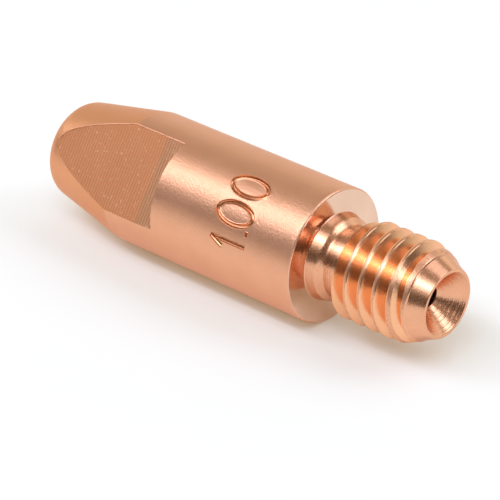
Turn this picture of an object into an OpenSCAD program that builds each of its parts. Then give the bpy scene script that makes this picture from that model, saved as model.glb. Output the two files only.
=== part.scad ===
// Welding contact tip: one turned copper-alloy piece that guides the wire and feeds it current.
// The axis lies along X, with the nose at -X, the threaded tail at +X and the origin at the centre
// of the shoulder face. The tip lies on its round body, with +Z up. All sizes are in millimetres.

/* [Body] */
// Diameter of the round body
body_d = 8; // [7:0.1:10]
// Length from the shoulder face to the end of the nose
body_len = 20; // [18:0.5:30]
// Width of the chamfer round the shoulder
shoulder_chamfer = 0.1; // [0.05:0.05:0.4]

/* [Nose] */
// Length of the tapered nose
nose_len = 6; // [4:0.5:8]
// Diameter that the taper reaches at the end of the nose
nose_d = 5.6; // [5:0.1:6.4]
// Radius of the rounded edge at the end of the nose
nose_round = 1.2; // [0.6:0.1:1.6]

/* [Spanner flats] */
// Distance across the two flats
flat_across = 6; // [5:0.1:6.6]
// Length of the flats from the end of the nose
flat_len = 9.7; // [7:0.1:14]
// Turn of the flats about the axis, from facing straight up
flat_turn = 56; // [0:1:179]

/* [Collar and neck] */
// Diameter of the collar where it meets the shoulder
collar_d = 5.2; // [4.9:0.1:5.8]
// Diameter of the collar at its front edge
collar_front_d = 4.84; // [4.5:0.02:4.9]
// Length of the collar
collar_len = 0.75; // [0.4:0.05:1]
// Length of the relief neck between the collar and the thread
neck_len = 1.05; // [0.9:0.05:1.6]
// Depth of the relief neck below the root of the thread
neck_relief = 0.17; // [0.1:0.01:0.4]

/* [Thread] */
// Outside diameter of the thread as it is cut
thread_d = 5.9; // [5.5:0.05:6.2]
// Pitch of the right-hand thread
thread_pitch = 1; // [0.75:0.05:1.25]
// Width of the flat crest of the thread
thread_crest = 0.22; // [0.12:0.02:0.3]
// Radius of the rounded root of the thread
thread_root = 0.05; // [0.03:0.01:0.08]
// Slope of the cone that starts the thread, from the axis
thread_start_angle = 60; // [45:5:70]
// Slope of the cone that ends the thread, from the axis
thread_end_angle = 23; // [20:1:60]

/* [Tail] */
// Length from the shoulder face to the mouth
tail_len = 8; // [7.5:0.1:12]
// Length of the tapered lead-in at the mouth
lead_len = 1; // [0.6:0.1:1.4]
// Diameter of the lead-in at the mouth
lead_d = 4.05; // [3.9:0.05:4.3]
// Height of the lead-in above the root of the thread where it begins
lead_rise = 0.12; // [0.02:0.02:0.16]
// Height of the step from the end of the thread down to the lead-in
lead_step = 0.1; // [0.04:0.02:0.14]

/* [Wire path] */
// Diameter of the wire bore
bore_d = 1.2; // [0.8:0.1:2]
// Diameter of the countersink at the mouth
mouth_d = 3.7; // [3:0.1:3.8]
// Included angle of the countersink
mouth_angle = 90; // [60:5:120]
// Width of the chamfer where the wire leaves the nose
exit_chamfer = 0.15; // [0.05:0.05:0.4]

/* [Hidden] */
$fn = 96;

// Overshoot of every cutter past the face it opens
past = 1;

body_r = body_d / 2;
nose_r = nose_d / 2;
nose_start = nose_len - body_len;
nose_slope = atan((body_r - nose_r) / nose_len);
// The rounded edge is a circle that touches the taper and the end face
round_s = nose_round - body_len;
round_r = nose_r + nose_round * tan(nose_slope) - nose_round / cos(nose_slope);

// Thread form: 60 degree flanks between the flat crest and the rounded root that touches both
flank_angle = 30;
thread_r = thread_d / 2;
crest_gap = (thread_pitch - thread_crest) / 2;
thread_depth = crest_gap / tan(flank_angle) - thread_root * (1 / sin(flank_angle) - 1);
root_r = thread_r - thread_depth;
thread_steps = 40;
root_steps = 3;

neck_r = root_r - neck_relief;
neck_start = collar_len + (collar_front_d / 2 - neck_r) / tan(thread_start_angle);
thread_start = collar_len + neck_len;
lead_start = tail_len - lead_len;
lead_r = root_r + lead_rise;
step_r = lead_r + lead_step;
step_slope = 60;
thread_end = lead_start - (thread_r - step_r) / tan(thread_end_angle);

// Half of the lathe's profile, as [radius, distance along the axis]
profile = [
    [0, -body_len],
    [round_r, -body_len],
    [round_r, round_s],
    [round_r + nose_round * cos(nose_slope), round_s - nose_round * sin(nose_slope)],
    [body_r, nose_start],
    [body_r, -shoulder_chamfer],
    [body_r - shoulder_chamfer, 0],
    [collar_d / 2, 0],
    [collar_front_d / 2, collar_len],
    [neck_r, neck_start],
    [neck_r, thread_start],
    [thread_r, thread_start + (thread_r - neck_r) / tan(thread_start_angle)],
    [thread_r, thread_end],
    [step_r, lead_start],
    [lead_r, lead_start + lead_step / tan(step_slope)],
    [lead_d / 2, tail_len],
    [0, tail_len]
];

// Section of the thread groove, as [offset along the axis, radius], open well past the crest
groove_lip = 0.08 * thread_pitch;
groove_half = crest_gap + groove_lip * tan(flank_angle);
groove = concat(
    [[groove_half, thread_r + past], [groove_half, thread_r + groove_lip]],
    [for (i = [0:root_steps])
        let (a = (90 - flank_angle) * (1 - 2 * i / root_steps))
            [thread_root * sin(a), root_r + thread_root * (1 - cos(a))]],
    [[-groove_half, thread_r + groove_lip], [-groove_half, thread_r + past]]
);
groove_start = collar_len + groove_half + 0.05;
groove_end = lead_start + groove_half;
// Angle of the groove about X where its helix would cross the shoulder face
groove_turn = -55;

// Turns a profile drawn as [radius, distance] about X
module turned() {
    rotate([0, 90, 0]) rotate_extrude() children();
}

// Sweeps a section of [offset, radius] points along a right-hand helix about X
module helix(section, length, pitch, steps_per_turn) {
    n = len(section);
    steps = ceil(length / pitch * steps_per_turn);
    points = [for (i = [0:steps])
        let (s = length * i / steps, a = 360 * s / pitch)
            for (p = section) [s + p[0], p[1] * cos(a), p[1] * sin(a)]];
    sides = [for (i = [0:steps - 1], j = [0:n - 1])
        let (k = (j + 1) % n, here = i * n, next = here + n)
            each [[here + j, next + k, next + j], [here + j, here + k, next + k]]];
    caps = [[for (j = [n - 1:-1:0]) j], [for (j = [0:n - 1]) steps * n + j]];
    polyhedron(points, concat(sides, caps), convexity = 10);
}

// The blank as it leaves the lathe, before the thread, the flats and the bore
module blank() {
    turned() {
        polygon(profile);
        translate([round_r, round_s]) circle(nose_round);
    }
}

// Wire bore, countersunk at the mouth and eased where the wire leaves
module wire_path() {
    mouth_depth = (mouth_d - bore_d) / 2 / tan(mouth_angle / 2);
    translate([-body_len - past, 0, 0]) rotate([0, 90, 0])
        cylinder(d = bore_d, h = body_len + tail_len + 2 * past);
    translate([tail_len - mouth_depth, 0, 0]) rotate([0, 90, 0])
        cylinder(d1 = bore_d, d2 = mouth_d, h = mouth_depth);
    translate([-body_len, 0, 0]) rotate([0, 90, 0])
        cylinder(d1 = bore_d + 2 * exit_chamfer, d2 = bore_d, h = exit_chamfer);
}

// Two opposite flats, milled from the nose back to a square step
module spanner_flats() {
    for (turn = [0, 180])
        rotate([flat_turn + turn, 0, 0])
            translate([-body_len - past, -body_r - past, flat_across / 2])
                cube([flat_len + past, 2 * (body_r + past), body_r]);
}

// Thread groove, from clear in the neck to clear on the lead-in
module thread_groove() {
    rotate([groove_turn + 360 * groove_start / thread_pitch, 0, 0]) translate([groove_start, 0, 0])
        helix(groove, groove_end - groove_start, thread_pitch, thread_steps);
}

module contact_tip() {
    color("#c98a63")
    difference() {
        blank();
        wire_path();
        spanner_flats();
        thread_groove();
    }
}

contact_tip();
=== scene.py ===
import math

import bmesh
import bpy
from mathutils import Matrix, Vector


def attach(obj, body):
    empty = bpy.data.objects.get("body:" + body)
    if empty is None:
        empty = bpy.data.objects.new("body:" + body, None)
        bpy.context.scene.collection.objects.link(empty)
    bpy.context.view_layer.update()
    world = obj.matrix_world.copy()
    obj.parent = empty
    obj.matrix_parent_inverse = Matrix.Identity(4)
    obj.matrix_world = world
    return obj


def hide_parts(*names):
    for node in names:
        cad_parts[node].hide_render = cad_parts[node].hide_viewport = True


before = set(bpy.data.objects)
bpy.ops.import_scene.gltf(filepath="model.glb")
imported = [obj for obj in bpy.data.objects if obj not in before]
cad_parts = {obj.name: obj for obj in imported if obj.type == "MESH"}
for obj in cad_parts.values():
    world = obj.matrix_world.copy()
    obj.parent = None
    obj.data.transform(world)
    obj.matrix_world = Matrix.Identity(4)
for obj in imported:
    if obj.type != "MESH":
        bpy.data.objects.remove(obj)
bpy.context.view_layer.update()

# The tip is modelled in millimetres on the CAD axes: X along the bore from nose to thread, Z up.
# Each finished mesh is then scaled to metres.
MM = 0.001
X_AXIS = Vector((1, 0, 0))
CENTRE = Vector((0, 0, 0))

# Body and nose
BODY_R = 4.0
BODY_LEN = 20.0
SHOULDER_CHAMFER = 0.1
NOSE_LEN = 6.0
NOSE_R = 2.8
NOSE_ROUND = 1.2

# Spanner flats, with the feed lines of the mill and the ramp where it comes to rest
FLAT_HALF = 3.0
FLAT_LEN = 9.7
FLAT_TURN = math.radians(56)
FLAT_BURR = 0.045
MILL_PITCH = 0.195
MILL_ROWS = 4
MILL_OVERSHOOT = 0.6
MILL_DEPTH = 0.007
RAMP_MILL_DEPTH = 0.014
RAMP_LEN = 1.4
RAMP_RISE = 0.05

# Collar, neck and thread
COLLAR_R = 2.6
COLLAR_FRONT_R = 2.42
COLLAR_LEN = 0.75
COLLAR_ROUND_BACK = 0.2
COLLAR_ROUND_FRONT = 0.25
NECK_LEN = 1.05
NECK_RELIEF = 0.17
THREAD_R = 2.95
PITCH = 1.0
CREST = 0.22
CREST_EASE = 0.045
ROOT_ROUND = 0.05
FLANK = math.radians(30)
THREAD_START_ANGLE = math.radians(60)
THREAD_END_ANGLE = math.radians(23)
GROOVE_TURN = math.radians(-55)

# Tail and wire path
TAIL_LEN = 8.0
LEAD_LEN = 1.0
LEAD_R = 2.025
LEAD_RISE = 0.12
LEAD_STEP = 0.1
BORE_R = 0.6
MOUTH_R = 1.85
EXIT_CHAMFER = 0.15

# Stamped wire size, read from the underside of the body upwards with the tops towards the nose
DIGIT_HEIGHT = 2.5
DIGIT_WIDTH = 1.25
DIGIT_BASE = -3.25
STROKE = 0.13
STROKE_LIFT = 0.01
RIM_WIDTH = 0.07
RIM_HEIGHT = 0.03
FIRST_DIGIT = math.radians(167)
FLAG_REACH = 0.42
FLAG_FOOT = 0.66
DOT_PLACE = 0.78
DOT_LEN = 0.16
ZERO_PLACES = (1.62, 3.35)

# Rings left by the turning tool, as how many and how deep. A depth of 0 only divides the surface.
TAPER_RINGS = (3, 0)
BODY_RINGS = (8, 0)
NECK_RINGS = (7, 0.002)
LEAD_RINGS = (6, 0.008)
MOUTH_RINGS = (15, -0.009)

# How far the turned edges are eased
EDGE_EASE = 0.03
STEP_EASE = 0.04
JOIN_EASE = 0.06

# How finely the surfaces are divided
LATHE_STEPS = 192
HELIX_STEPS = 96
NOSE_STEPS = 14
COLLAR_STEPS = 12
ROOT_STEPS = 8
BURR_STEPS = 40
ZERO_STEPS = 48
STROKE_STEP = 0.3
SHARP_EDGE = math.radians(28)

# Points closer than this are one, and a face this near a wall belongs to it
SAME_POINT = 1e-5
NEAR_WALL = 0.02

FINISHES = ("satin", "faced", "turned", "bored", "crest", "milled", "threaded", "stamped")
SATIN, FACED, TURNED, BORED, CRESTED, MILLED, THREADED, STAMPED = range(len(FINISHES))


def polar(radius, angle, along=0.0):
    """A point at a distance along X, at an angle about X from +Y towards +Z."""
    return Vector((along, radius * math.cos(angle), radius * math.sin(angle)))


def wire_loop(bm, points):
    """Adds a closed loop of edges, and returns its geometry for a spin."""
    verts = [bm.verts.new(p) for p in points]
    return verts + [bm.edges.new(pair) for pair in zip(verts, verts[1:] + verts[:1])]


def only(kind, geom):
    """The verts or the edges among the geometry that an operator gives back."""
    return [g for g in geom if isinstance(g, kind)]


def object_from(bm, name, materials):
    """Makes an object at the origin from a bmesh with its normals outward."""
    bmesh.ops.recalc_face_normals(bm, faces=bm.faces)
    is_closed = all(e.is_manifold for e in bm.edges)
    if is_closed and bm.calc_volume(signed=True) < 0:
        bmesh.ops.reverse_faces(bm, faces=bm.faces)
    mesh = bpy.data.meshes.new(name)
    bm.to_mesh(mesh)
    bm.free()
    for material in materials:
        mesh.materials.append(material)
    made = bpy.data.objects.new(name, mesh)
    bpy.context.scene.collection.objects.link(made)
    return made


def evaluated_mesh(made):
    """The mesh of an object with its modifiers or its bevel applied."""
    bpy.context.view_layer.update()
    depsgraph = bpy.context.evaluated_depsgraph_get()
    return bpy.data.meshes.new_from_object(made.evaluated_get(depsgraph))


# The blank as it leaves the lathe

CREST_GAP = (PITCH - CREST) / 2
ROOT_R = THREAD_R - CREST_GAP / math.tan(FLANK) + ROOT_ROUND * (1 / math.sin(FLANK) - 1)
NECK_R = ROOT_R - NECK_RELIEF
THREAD_START = COLLAR_LEN + NECK_LEN
CREST_START = THREAD_START + (THREAD_R - NECK_R) / math.tan(THREAD_START_ANGLE)
LEAD_START = TAIL_LEN - LEAD_LEN
LEAD_START_R = ROOT_R + LEAD_RISE
STEP_R = LEAD_START_R + LEAD_STEP
NOSE_SLOPE = math.atan2(BODY_R - NOSE_R, NOSE_LEN)


def nose_edge(steps):
    """Points [along, radius] of the rounded edge between the end face and the taper."""
    centre_along = NOSE_ROUND - BODY_LEN
    centre_r = NOSE_R + NOSE_ROUND * (math.tan(NOSE_SLOPE) - 1 / math.cos(NOSE_SLOPE))
    sweep = math.pi / 2 - NOSE_SLOPE
    for i in range(steps + 1):
        angle = sweep * i / steps
        yield (centre_along - NOSE_ROUND * math.cos(angle), centre_r + NOSE_ROUND * math.sin(angle))


def tool_rings(start, end, rings, depth):
    """Points [along, radius] from start to end, with uneven rings cut by the turning tool."""
    (a0, r0), (a1, r1) = start, end
    length = math.hypot(a1 - a0, r1 - r0)
    inward = ((r1 - r0) / length, -(a1 - a0) / length)
    per_ring = 6
    for i in range(rings * per_ring + 1):
        t = i / (rings * per_ring)
        uneven = 0.65 + 0.35 * math.sin(2.4 * (i // per_ring))
        cut_in = depth * uneven * abs(math.sin(math.pi * rings * t))
        yield (a0 + (a1 - a0) * t + inward[0] * cut_in, r0 + (r1 - r0) * t + inward[1] * cut_in)


def collar_front(steps):
    """Points [along, radius] of the rounded front of the collar, down to the neck."""
    start = COLLAR_LEN - COLLAR_ROUND_BACK
    end = COLLAR_LEN + COLLAR_ROUND_FRONT
    start_r = COLLAR_R + (COLLAR_FRONT_R - COLLAR_R) * start / COLLAR_LEN
    for i in range(steps + 1):
        t = i / steps
        yield (start + (end - start) * t, start_r + (NECK_R - start_r) * t * t * (3 - 2 * t))


def lathe_profile():
    """Half section of the whole tip with its bore, as a closed loop of [along, radius]."""
    crest_end = LEAD_START - (THREAD_R - STEP_R) / math.tan(THREAD_END_ANGLE)
    lead_in = LEAD_START + LEAD_STEP / math.tan(THREAD_START_ANGLE)
    bore_mouth = TAIL_LEN - (MOUTH_R - BORE_R)
    nose_start = (NOSE_LEN - BODY_LEN, BODY_R)
    profile = [(EXIT_CHAMFER - BODY_LEN, BORE_R), (-BODY_LEN, BORE_R + EXIT_CHAMFER)]
    profile += nose_edge(NOSE_STEPS)
    profile += list(tool_rings(profile[-1], nose_start, *TAPER_RINGS))[1:-1]
    profile += tool_rings(nose_start, (-SHOULDER_CHAMFER, BODY_R), *BODY_RINGS)
    profile += [(0, BODY_R - SHOULDER_CHAMFER), (0, COLLAR_R)]
    profile += collar_front(COLLAR_STEPS)
    profile += tool_rings(profile.pop(), (THREAD_START, NECK_R), *NECK_RINGS)
    profile += [(CREST_START, THREAD_R), (crest_end, THREAD_R), (LEAD_START, STEP_R)]
    profile += tool_rings((lead_in, LEAD_START_R), (TAIL_LEN, LEAD_R), *LEAD_RINGS)
    profile += tool_rings((TAIL_LEN, MOUTH_R), (bore_mouth, BORE_R), *MOUTH_RINGS)
    return profile


def soften_ring(bm, along, radius, width, segments=3):
    """Rounds the ring edge at a place on the profile."""
    near = 1e-4

    def on_ring(vert):
        out = math.hypot(vert.co.y, vert.co.z)
        return abs(vert.co.x - along) < near and abs(out - radius) < near

    ring = [e for e in bm.edges if on_ring(e.verts[0]) and on_ring(e.verts[1])]
    bmesh.ops.bevel(
        bm, geom=ring, offset=width, segments=segments, profile=0.5, affect="EDGES", material=-1
    )


def lathe_finish(face):
    """The finish of a face of the blank: satin in front of the shoulder, bright behind it."""
    middle = face.calc_center_median()
    radius = math.hypot(middle.y, middle.z)
    # The bore's walls take the near-black finish, which is painted shade
    if radius < BORE_R + NEAR_WALL:
        return BORED
    if middle.x < -SHOULDER_CHAMFER / 4:
        return SATIN
    if radius > COLLAR_R + NEAR_WALL and middle.x < COLLAR_LEN:
        return FACED
    on_crest = CREST_START - 5 * NEAR_WALL < middle.x < LEAD_START and radius > STEP_R
    return CRESTED if on_crest else TURNED


def turn_blank():
    """The turned form with its bore, each face marked with its finish."""
    bm = bmesh.new()
    section = wire_loop(bm, [polar(r, 0, along) for along, r in lathe_profile()])
    bmesh.ops.spin(
        bm,
        geom=section,
        cent=CENTRE,
        axis=X_AXIS,
        angle=math.tau,
        steps=LATHE_STEPS,
        use_merge=True,
    )
    bmesh.ops.remove_doubles(bm, verts=bm.verts, dist=SAME_POINT)
    soften_ring(bm, NOSE_LEN - BODY_LEN, BODY_R, JOIN_EASE)
    soften_ring(bm, -SHOULDER_CHAMFER, BODY_R, EDGE_EASE)
    soften_ring(bm, 0, BODY_R - SHOULDER_CHAMFER, EDGE_EASE)
    soften_ring(bm, 0, COLLAR_R, JOIN_EASE)
    soften_ring(bm, LEAD_START, STEP_R, STEP_EASE)
    soften_ring(bm, TAIL_LEN, LEAD_R, EDGE_EASE)
    soften_ring(bm, TAIL_LEN, MOUTH_R, EDGE_EASE)
    for face in bm.faces:
        face.material_index = lathe_finish(face)
    return bm


# What is cut from the blank

GROOVE_LIP = 0.02
GROOVE_HALF = CREST_GAP + 2 * CREST_EASE
PAST = 1.0


def groove_section(root_steps):
    """Section of the thread groove as [offset along X, radius], open well past the crest."""
    lip = [
        (GROOVE_HALF, THREAD_R + PAST),
        (GROOVE_HALF, THREAD_R + GROOVE_LIP),
        (CREST_GAP + CREST_EASE, THREAD_R),
        (CREST_GAP - CREST_EASE / 3, THREAD_R - CREST_EASE / 2),
        (CREST_GAP - 2 * CREST_EASE * math.tan(FLANK), THREAD_R - 2 * CREST_EASE),
    ]
    yield from lip
    for i in range(root_steps + 1):
        angle = (math.pi / 2 - FLANK) * (1 - 2 * i / root_steps)
        yield (ROOT_ROUND * math.sin(angle), ROOT_R + ROOT_ROUND * (1 - math.cos(angle)))
    yield from [(-offset, radius) for offset, radius in reversed(lip)]


def thread_groove():
    """The cutter of the right-hand thread, from clear in the neck to clear on the lead-in."""
    bm = bmesh.new()
    start = COLLAR_LEN + GROOVE_HALF + 0.05
    turns = (LEAD_START + GROOVE_HALF - start) / PITCH
    steps = round(turns * HELIX_STEPS)
    turn = GROOVE_TURN + math.tau * start / PITCH
    points = [polar(r, turn, start + offset) for offset, r in groove_section(ROOT_STEPS)]
    section = wire_loop(bm, points)
    swept = bmesh.ops.spin(
        bm,
        geom=section,
        cent=CENTRE,
        axis=X_AXIS,
        dvec=X_AXIS * (turns * PITCH / steps),
        angle=math.tau * turns,
        steps=steps,
    )
    for end in (section, swept["geom_last"]):
        bmesh.ops.contextual_create(bm, geom=only(bmesh.types.BMEdge, end))
    return bm


def onto_both_flats(bm):
    """Turns what is made for a flat facing up onto the first flat, and copies it to the other."""
    made = bm.verts[:] + bm.edges[:] + bm.faces[:]
    to_first = Matrix.Rotation(FLAT_TURN, 3, "X")
    to_other = Matrix.Rotation(math.pi, 3, "X")
    bmesh.ops.rotate(bm, verts=bm.verts, cent=CENTRE, matrix=to_first)
    copied = only(bmesh.types.BMVert, bmesh.ops.duplicate(bm, geom=made)["geom"])
    bmesh.ops.rotate(bm, verts=copied, cent=CENTRE, matrix=to_other)


def spanner_flats():
    """Cutters above both flats, with feed lines across and the ramp at the step."""
    bm = bmesh.new()
    length = FLAT_LEN + MILL_OVERSHOOT
    rows = round(length / MILL_PITCH) * MILL_ROWS
    verts = bmesh.ops.create_grid(bm, x_segments=rows, y_segments=1, size=1)["verts"]
    for v in verts:
        along = FLAT_LEN - BODY_LEN - (1 - v.co.x) / 2 * length
        ramp = max(0.0, 1 - (FLAT_LEN - BODY_LEN - along) / RAMP_LEN)
        scallop = abs(math.sin(math.pi * along / MILL_PITCH))
        cut_in = scallop * (RAMP_MILL_DEPTH if ramp > 0 else MILL_DEPTH)
        v.co = (along, v.co.y * (BODY_R + PAST), FLAT_HALF + RAMP_RISE * ramp - cut_in)
    grown = bmesh.ops.extrude_face_region(bm, geom=bm.faces[:], use_keep_orig=True)["geom"]
    for v in only(bmesh.types.BMVert, grown):
        v.co.z = BODY_R + PAST
    onto_both_flats(bm)
    return bm


# Strokes and burrs: round tubes along a path, placed on the body

def tube(path, closed, radius):
    """A bmesh of a round tube along a path of points."""
    curve = bpy.data.curves.new("tube", "CURVE")
    curve.dimensions = "3D"
    curve.bevel_depth = radius
    curve.bevel_resolution = 4
    curve.use_fill_caps = True
    spline = curve.splines.new("POLY")
    spline.points.add(len(path) - 1)
    for point, place in zip(spline.points, path):
        point.co = (*place, 1)
    spline.use_cyclic_u = closed
    made = bpy.data.objects.new("tube", curve)
    bpy.context.scene.collection.objects.link(made)
    mesh = evaluated_mesh(made)
    bm = bmesh.new()
    bm.from_mesh(mesh)
    bmesh.ops.remove_doubles(bm, verts=bm.verts, dist=1e-6)
    bpy.data.objects.remove(made)
    bpy.data.meshes.remove(mesh)
    return bm


def flat_edge():
    """Points on a long edge of a flat that faces up, from the step to the middle of the nose."""
    nose_start = NOSE_LEN - BODY_LEN
    nose_end = nose_start - (BODY_R - FLAT_HALF) / math.tan(NOSE_SLOPE)
    yield (FLAT_LEN - BODY_LEN, math.sqrt(BODY_R**2 - FLAT_HALF**2), FLAT_HALF)
    for i in range(BURR_STEPS):
        along = nose_start + (nose_end - nose_start) * math.sin(math.pi / 2 * i / BURR_STEPS)
        radius = BODY_R - (nose_start - along) * math.tan(NOSE_SLOPE)
        yield (along, math.sqrt(radius**2 - FLAT_HALF**2), FLAT_HALF)


def flat_burrs():
    """A thin burr on the edge of each flat where the mill came out."""
    bm = tube(list(flat_edge()), False, FLAT_BURR)
    onto_both_flats(bm)
    return bm


def digit_strokes():
    """Strokes of the wire size 1.00 as [across, up] paths on a flat sheet, each open or closed."""
    half = DIGIT_HEIGHT / 2
    yield [(0, 0), (0, DIGIT_HEIGHT)], False
    yield [(-FLAG_REACH, FLAG_FOOT * DIGIT_HEIGHT), (0, DIGIT_HEIGHT)], False
    yield [(DOT_PLACE, 0), (DOT_PLACE, DOT_LEN)], False
    turn = [math.tau * i / ZERO_STEPS for i in range(ZERO_STEPS)]
    for middle in ZERO_PLACES:
        ring = [(middle + DIGIT_WIDTH / 2 * math.cos(a), half + half * math.sin(a)) for a in turn]
        yield ring, True


def stamped_stroke(path, closed, half_width, half_depth, height):
    """A tube along a stroke, bent round the body with its middle at a height over the surface."""
    bm = tube([(x, y, 0) for x, y in path], closed, half_width)
    long_edges = [e for e in bm.edges if e.calc_length() > STROKE_STEP]
    bmesh.ops.subdivide_edges(bm, edges=long_edges, cuts=6, use_grid_fill=True)
    for v in bm.verts:
        across, up, out = v.co
        radius = BODY_R + height + out * half_depth / half_width
        v.co = polar(radius, FIRST_DIGIT - across / BODY_R, DIGIT_BASE - up)
    return bm


# Joining and cutting

def combine(piece, bm, operation, finish, materials):
    """Joins a tool to the piece, or cuts the piece with it, and leaves the tool's finish there."""
    for face in bm.faces:
        face.material_index = finish
    tool = object_from(bm, "tool", materials)
    step = piece.modifiers.new("step", "BOOLEAN")
    step.operation = operation
    step.solver = "EXACT"
    step.object = tool
    shaped = evaluated_mesh(piece)
    piece.modifiers.clear()
    old = piece.data
    piece.data = shaped
    for spare in (old, tool.data):
        bpy.data.meshes.remove(spare)


# Materials

def new_material(name):
    """A material with its nodes and links."""
    material = bpy.data.materials.new(name)
    material.use_nodes = True
    return material, material.node_tree.nodes, material.node_tree.links


def math_node(nodes, links, operation, *inputs):
    """The result of a sum on numbers and sockets."""
    node = nodes.new("ShaderNodeMath")
    node.operation = operation
    for socket, value in zip(node.inputs, inputs):
        if isinstance(value, (int, float)):
            socket.default_value = value
        else:
            links.new(value, socket)
    return node.outputs[0]


def blend(nodes, links, factor, low, high):
    """A colour between two, each an [r, g, b] or a socket."""
    node = nodes.new("ShaderNodeMix")
    node.data_type = "RGBA"
    links.new(factor, node.inputs["Factor"])
    for socket, value in ((node.inputs[6], low), (node.inputs[7], high)):
        if isinstance(value, tuple):
            socket.default_value = (*value, 1)
        else:
            links.new(value, socket)
    return node.outputs[2]


def spread(nodes, links, value, low, high, to_low=0.0, to_high=1.0):
    """Maps a range of a value onto another, held at both ends."""
    node = nodes.new("ShaderNodeMapRange")
    links.new(value, node.inputs["Value"])
    ends = {"From Min": low, "From Max": high, "To Min": to_low, "To Max": to_high}
    for name, number in ends.items():
        node.inputs[name].default_value = number
    return node.outputs["Result"]


def surface_group():
    """Marks that the finishes share: grain, clouds of tone, rings, specks and the place along X."""
    group = bpy.data.node_groups.new("tool_surface", "ShaderNodeTree")
    for name in ("Grain", "Cloud", "Rings", "Specks", "Along"):
        group.interface.new_socket(name, in_out="OUTPUT", socket_type="NodeSocketFloat")
    nodes, links = group.nodes, group.links
    out = nodes.new("NodeGroupOutput")
    place = nodes.new("ShaderNodeTexCoord").outputs["Object"]
    in_mm = nodes.new("ShaderNodeVectorMath")
    in_mm.operation = "SCALE"
    in_mm.inputs["Scale"].default_value = 1 / MM
    links.new(place, in_mm.inputs[0])
    parts = nodes.new("ShaderNodeSeparateXYZ")
    links.new(in_mm.outputs[0], parts.inputs[0])

    def noise(scale, detail, stretch=(1, 1, 1)):
        mapping = nodes.new("ShaderNodeMapping")
        mapping.inputs["Scale"].default_value = stretch
        links.new(in_mm.outputs[0], mapping.inputs["Vector"])
        texture = nodes.new("ShaderNodeTexNoise")
        texture.inputs["Scale"].default_value = scale
        texture.inputs["Detail"].default_value = detail
        links.new(mapping.outputs[0], texture.inputs["Vector"])
        return texture.outputs["Fac"]

    rings = nodes.new("ShaderNodeTexNoise")
    rings.noise_dimensions = "1D"
    rings.inputs["Scale"].default_value = 9
    rings.inputs["Detail"].default_value = 2
    links.new(parts.outputs["X"], rings.inputs["W"])
    links.new(noise(12, 2, (1.6, 0.7, 0.7)), out.inputs["Grain"])
    links.new(noise(0.55, 2), out.inputs["Cloud"])
    links.new(rings.outputs["Fac"], out.inputs["Rings"])
    links.new(noise(7.5, 1), out.inputs["Specks"])
    links.new(parts.outputs["X"], out.inputs["Along"])
    return group


# Colour that copper takes on at a grazing angle
EDGE_TINT = (0.9, 0.8, 0.74, 1)

# Colours that lie over the finishes
# Painted reflection: a deeper orange laid over the nose for the darker reflection it shows
NOSE_PAINTED_REFLECTION = (0.82, 0.36, 0.17)
# Dark patches laid at random over the crests
CREST_DARK_PATCHES = (0.42, 0.19, 0.1)
FEED_LINE = (0.48, 0.2, 0.09)
# Painted reflection: the ramp is real, and its greyer tint stands for the light its slope catches
RAMP_PAINTED_REFLECTION = (0.62, 0.42, 0.26)
RAMP_LINE = (0.36, 0.21, 0.12)
BRIGHT_SPECK = (0.98, 0.62, 0.42)


class Copper:
    """A copper finish: tone from the clouds, roughness and bump from the grain and rings."""

    def __init__(self, finish, marks, dark, light, roughness, grain_depth, ring_depth):
        self.material, self.nodes, self.links = new_material(finish + "_copper")
        self.shader = self.nodes["Principled BSDF"]
        self.shader.inputs["Metallic"].default_value = 1
        self.shader.inputs["Specular Tint"].default_value = EDGE_TINT
        group = self.nodes.new("ShaderNodeGroup")
        group.node_tree = marks
        self.marks = group.outputs
        tone = spread(self.nodes, self.links, self.marks["Cloud"], 0.3, 0.7)
        self.paint(blend(self.nodes, self.links, tone, dark, light))
        rough = spread(self.nodes, self.links, self.marks["Grain"], 0.3, 0.7, *roughness)
        self.links.new(rough, self.shader.inputs["Roughness"])
        grain = self.math("MULTIPLY", self.marks["Grain"], grain_depth)
        self.height = self.math("MULTIPLY_ADD", self.marks["Rings"], ring_depth, grain)
        self.bump = self.nodes.new("ShaderNodeBump")
        self.bump.inputs["Distance"].default_value = MM
        self.links.new(self.height, self.bump.inputs["Height"])
        self.links.new(self.bump.outputs[0], self.shader.inputs["Normal"])

    def math(self, operation, *inputs):
        return math_node(self.nodes, self.links, operation, *inputs)

    def paint(self, colour):
        self.colour = colour
        self.links.new(colour, self.shader.inputs["Base Color"])

    def over(self, mask, colour):
        """Lays a colour over the finish where a mask is 1."""
        self.paint(blend(self.nodes, self.links, mask, self.colour, colour))

    def band(self, mark, low, high):
        return spread(self.nodes, self.links, self.marks[mark], low, high)


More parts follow.
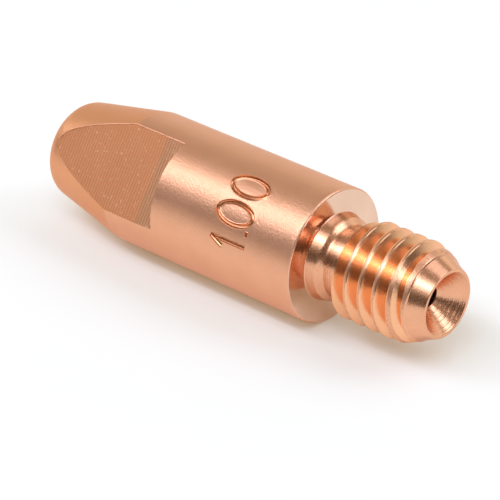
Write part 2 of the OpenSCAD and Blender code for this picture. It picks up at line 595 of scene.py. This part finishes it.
def copper_finishes():
    """The materials of all finishes, in the order of FINISHES."""
    marks = surface_group()
    satin = Copper(
        "satin", marks, (0.85, 0.43, 0.26), (0.88, 0.45, 0.275), (0.34, 0.44), 0.021, 0.003
    )
    # Painted reflection: the nose taper is given a deeper, darker orange than the rest of the body
    nose = satin.band("Along", NOSE_LEN - BODY_LEN, NOSE_LEN - BODY_LEN - 0.1)
    satin.over(satin.math("MULTIPLY", nose, 0.8), NOSE_PAINTED_REFLECTION)
    faced = Copper("faced", marks, (0.80, 0.53, 0.39), (0.85, 0.58, 0.44), (0.08, 0.14), 0.001, 0.0)
    turned = Copper(
        "turned", marks, (0.80, 0.39, 0.23), (0.86, 0.44, 0.26), (0.19, 0.29), 0.005, 0.003
    )
    # Painted shade: the bore's walls are near black, for the shade inside the hole
    bored = Copper("bored", marks, (0.10, 0.05, 0.03), (0.2, 0.1, 0.06), (0.4, 0.5), 0.004, 0.003)
    crest = Copper("crest", marks, (0.84, 0.40, 0.23), (0.88, 0.46, 0.28), (0.3, 0.44), 0.01, 0.003)
    crest.over(crest.math("MULTIPLY", crest.band("Grain", 0.54, 0.62), 0.5), CREST_DARK_PATCHES)
    milled = Copper(
        "milled", marks, (0.82, 0.34, 0.155), (0.85, 0.36, 0.17), (0.4, 0.5), 0.009, 0.0
    )
    feed = milled.math("PINGPONG", milled.marks["Along"], MILL_PITCH / 2)
    groove = spread(milled.nodes, milled.links, feed, 0.02, 0.08, 0.0, 0.4)
    milled.over(groove, FEED_LINE)
    ramp_start = FLAT_LEN - BODY_LEN - RAMP_LEN
    ramp = milled.band("Along", ramp_start, ramp_start + 0.2)
    # The ramp is raised in the cutter; its greyer tint here is painted reflection
    milled.over(milled.math("MULTIPLY", ramp, 0.25), RAMP_PAINTED_REFLECTION)
    milled.over(milled.math("MULTIPLY", ramp, groove), RAMP_LINE)
    milled.over(milled.math("MULTIPLY", milled.band("Specks", 0.67, 0.72), 0.7), BRIGHT_SPECK)
    threaded = Copper(
        "threaded", marks, (0.93, 0.48, 0.26), (0.96, 0.51, 0.29), (0.18, 0.25), 0.004, 0.0
    )
    # Painted shade: the stamped grooves are darker than the satin around them, for the shade inside
    # them
    stamped = Copper(
        "stamped", marks, (0.64, 0.26, 0.12), (0.76, 0.34, 0.17), (0.2, 0.3), 0.004, 0.0
    )
    finishes = (satin, faced, turned, bored, crest, milled, threaded, stamped)
    return [finish.material for finish in finishes]


def smooth_in_metres(piece):
    """Closes the joins, scales to metres, and shades smooth between the edges and the finishes."""
    bm = bmesh.new()
    bm.from_mesh(piece.data)
    bmesh.ops.remove_doubles(bm, verts=bm.verts, dist=SAME_POINT)
    bmesh.ops.scale(bm, vec=(MM, MM, MM), verts=bm.verts)
    for face in bm.faces:
        face.smooth = True
    for edge in bm.edges:
        finishes = {face.material_index for face in edge.link_faces}
        edge.smooth = len(finishes) == 1 and edge.calc_face_angle(0) < SHARP_EDGE
    bm.to_mesh(piece.data)
    bm.free()


def contact_tip():
    """The whole tip: turned, milled, threaded and stamped."""
    materials = copper_finishes()
    tip = object_from(turn_blank(), "contact_tip_turned", materials)
    combine(tip, spanner_flats(), "DIFFERENCE", MILLED, materials)
    combine(tip, flat_burrs(), "UNION", CRESTED, materials)
    combine(tip, thread_groove(), "DIFFERENCE", THREADED, materials)
    for path, closed in digit_strokes():
        rim = stamped_stroke(path, closed, STROKE + RIM_WIDTH, 2 * RIM_HEIGHT, -RIM_HEIGHT)
        combine(tip, rim, "UNION", SATIN, materials)
    for path, closed in digit_strokes():
        groove = stamped_stroke(path, closed, STROKE, STROKE, STROKE_LIFT)
        combine(tip, groove, "DIFFERENCE", STAMPED, materials)
    smooth_in_metres(tip)
    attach(tip, "root")
    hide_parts("contact_tip")


# Stage

FLOOR_Z = -BODY_R * MM
FLOOR_RADIUS = 1.5
FLOOR_WHITE = 0.8
FLOOR_GLOW = 0.14
GLOW_TINT = (1.22, 1.16, 0.78)


def white_floor():
    """A white floor that keeps the shadow. Part of its white is for eyes and mirrors only."""
    bm = bmesh.new()
    bmesh.ops.create_circle(bm, cap_ends=True, segments=96, radius=FLOOR_RADIUS)
    bmesh.ops.translate(bm, verts=bm.verts, vec=(0, 0, FLOOR_Z))
    material, nodes, links = new_material("white_floor")
    floor = object_from(bm, "white_floor", [material])
    shader = nodes["Principled BSDF"]
    shader.inputs["Base Color"].default_value = (FLOOR_WHITE, FLOOR_WHITE, FLOOR_WHITE, 1)
    shader.inputs["Roughness"].default_value = 0.8
    shader.inputs["Specular IOR Level"].default_value = 0
    path = nodes.new("ShaderNodeLightPath").outputs
    seen = math_node(nodes, links, "MAXIMUM", path["Is Camera Ray"], path["Is Glossy Ray"])
    seen = math_node(nodes, links, "MAXIMUM", seen, path["Is Transmission Ray"])
    shader.inputs["Emission Color"].default_value = (*GLOW_TINT, 1)
    links.new(
        math_node(nodes, links, "MULTIPLY", seen, FLOOR_GLOW), shader.inputs["Emission Strength"]
    )


COOL_LAMP = (0.92, 1, 1.2)
OVER_LEFT = (-0.115, -0.512, 0.851)

# Each lamp's name, direction, distance, width, length and brightness. The narrow core hangs just in
# front of the wide edge, so that mirrors show both.
SOFTBOXES = (
    ("softbox_edge", OVER_LEFT, 1.0, 0.6, 1.9, 1.56),
    ("softbox_core", OVER_LEFT, 0.97, 0.12, 1.9, 4.8),
    ("softbox_top", (0.12, 0.46, 0.88), 1.0, 0.6, 0.6, 1.0),
    ("softbox_tail", (0.6, 0.43, 0.67), 1.0, 0.5, 0.45, 2.6),
    ("softbox_low", (0.965, 0.13, 0.23), 1.0, 0.2, 0.2, 4.0),
)


def softbox(name, direction, distance, width, length, brightness):
    """An area lamp that faces the tip from a direction, with its length along the tip."""
    lamp = bpy.data.lights.new(name, "AREA")
    lamp.shape = "RECTANGLE"
    lamp.size = length
    lamp.size_y = width
    lamp.energy = brightness * math.pi * width * length
    lamp.color = COOL_LAMP
    aim = Vector(direction).normalized()
    along = (X_AXIS - aim * X_AXIS.dot(aim)).normalized()
    turn = Matrix((along, aim.cross(along), aim)).transposed().to_4x4()
    placed = bpy.data.objects.new(name, lamp)
    placed.matrix_world = Matrix.Translation(aim * distance) @ turn
    bpy.context.scene.collection.objects.link(placed)


TO_BACK_WALL = (-0.55, 0.83, 0)
WALL_FOOT = (0.76, 0.8, 0.8)
WALL_TOP = (1.16, 1.2, 1.12)
DARK_SIDE = (0.12, 0.1, 0.08)
CEILING = (0.35, 0.32, 0.25)
CEILING_FROM = 0.42
CEILING_FULL = 0.57


def room():
    """A studio with a dim ceiling, a bright wall behind the tip and a dark side in front of it."""
    world = bpy.data.worlds.new("room")
    bpy.context.scene.world = world
    world.use_nodes = True
    nodes, links = world.node_tree.nodes, world.node_tree.links
    look = nodes.new("ShaderNodeTexCoord").outputs["Generated"]
    to_wall = nodes.new("ShaderNodeVectorMath")
    to_wall.operation = "DOT_PRODUCT"
    to_wall.inputs[1].default_value = TO_BACK_WALL
    links.new(look, to_wall.inputs[0])
    parts = nodes.new("ShaderNodeSeparateXYZ")
    links.new(look, parts.inputs[0])
    behind = spread(nodes, links, to_wall.outputs["Value"], 0.1, 0.5)
    higher = spread(nodes, links, parts.outputs["Z"], 0.0, CEILING_FROM)
    back_wall = blend(nodes, links, higher, WALL_FOOT, WALL_TOP)
    walls = blend(nodes, links, behind, DARK_SIDE, back_wall)
    above = spread(nodes, links, parts.outputs["Z"], CEILING_FROM, CEILING_FULL)
    seen = blend(nodes, links, above, walls, CEILING)
    links.new(seen, nodes["Background"].inputs["Color"])


# Camera, in millimetres
CAMERA_PLACE = Vector((92.626, -111.864, 82.816))
CAMERA_LOOK = Vector((-0.57594, 0.65146, -0.49386))
CAMERA_LENS = 216
CAMERA_SENSOR = 36


def photo_camera():
    """The camera at the photograph's viewing angle."""
    lens = bpy.data.cameras.new("photo_camera")
    lens.lens = CAMERA_LENS
    lens.sensor_width = CAMERA_SENSOR
    lens.clip_start = 0.005
    camera = bpy.data.objects.new("photo_camera", lens)
    turn = CAMERA_LOOK.to_track_quat("-Z", "Y").to_matrix().to_4x4()
    camera.matrix_world = Matrix.Translation(CAMERA_PLACE * MM) @ turn
    bpy.context.scene.collection.objects.link(camera)
    bpy.context.scene.camera = camera


photo_camera()
contact_tip()
white_floor()
room()
for box in SOFTBOXES:
    softbox(*box)
bpy.context.scene.view_settings.view_transform = "Standard"
